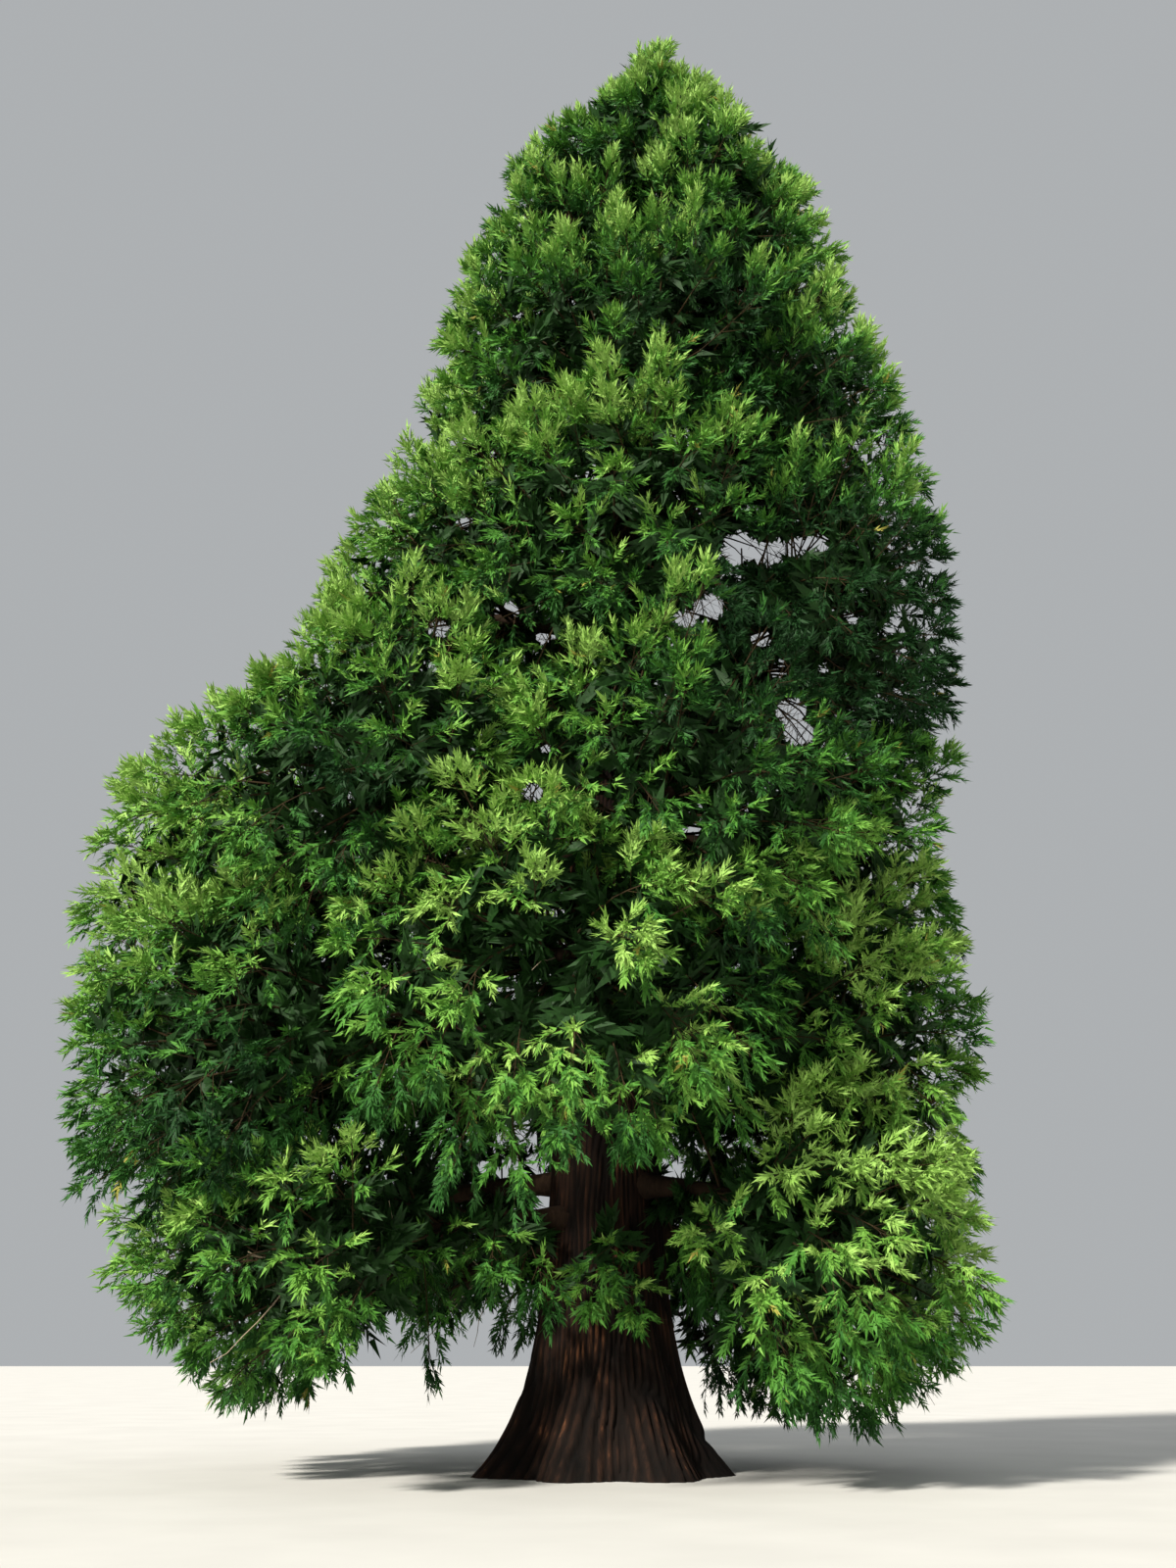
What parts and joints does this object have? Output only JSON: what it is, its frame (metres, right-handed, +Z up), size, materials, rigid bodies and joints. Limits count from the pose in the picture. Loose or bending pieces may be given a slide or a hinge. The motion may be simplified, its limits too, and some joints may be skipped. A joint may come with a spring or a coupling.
{
  "type": "giant sequoia tree",
  "caption": "Mature evergreen conifer with a fluted, flared reddish trunk and dense scale-leaved foliage in billowing masses, forming a broad leaning cone clothed almost to the ground.",
  "frame": {"origin": "middle of the flat cut under the trunk, at ground level", "axes": "+Z up along the tree; -Y is the front that the picture shows; the top leans towards +X"},
  "size_m": [15.8865, 15.4898, 27],
  "materials": {
    "trunk_bark": "deeply ridged fibrous bark, reddish brown",
    "bough_bark": "rough grey-brown bark",
    "foliage": "matt mid-green scale leaves on fine twigs"
  },
  "bodies": {
    "root": {"trunk": "trunk_bark", "skirt_bough_1": "bough_bark", "skirt_mass_1": "foliage", "skirt_bough_2": "bough_bark", "skirt_mass_2": "foliage", "skirt_bough_3": "bough_bark", "skirt_mass_3": "foliage", "skirt_bough_4": "bough_bark", "skirt_mass_4": "foliage", "skirt_bough_5": "bough_bark", "skirt_mass_5": "foliage", "skirt_bough_6": "bough_bark", "skirt_mass_6": "foliage", "low_bough_1": "bough_bark", "low_mass_1": "foliage", "low_bough_2": "bough_bark", "low_mass_2": "foliage", "low_bough_3": "bough_bark", "low_mass_3": "foliage", "low_bough_4": "bough_bark", "low_mass_4": "foliage", "low_bough_5": "bough_bark", "low_mass_5": "foliage", "low_bough_6": "bough_bark", "low_mass_6": "foliage", "broad_bough_1": "bough_bark", "broad_mass_1": "foliage", "broad_bough_2": "bough_bark", "broad_mass_2": "foliage", "broad_bough_3": "bough_bark", "broad_mass_3": "foliage", "broad_bough_4": "bough_bark", "broad_mass_4": "foliage", "broad_bough_5": "bough_bark", "broad_mass_5": "foliage", "broad_bough_6": "bough_bark", "broad_mass_6": "foliage", "middle_bough_1": "bough_bark", "middle_mass_1": "foliage", "middle_bough_2": "bough_bark", "middle_mass_2": "foliage", "middle_bough_3": "bough_bark", "middle_mass_3": "foliage", "middle_bough_4": "bough_bark", "middle_mass_4": "foliage", "middle_bough_5": "bough_bark", "middle_mass_5": "foliage", "upper_mass_1": "foliage", "upper_mass_2": "foliage", "upper_mass_3": "foliage", "upper_mass_4": "foliage", "high_mass_1": "foliage", "high_mass_2": "foliage", "high_mass_3": "foliage", "high_mass_4": "foliage", "crown_top_mass_1": "foliage", "crown_top_mass_2": "foliage", "crown_top_mass_3": "foliage", "leader_mass": "foliage"}
  },
  "joints": []
}
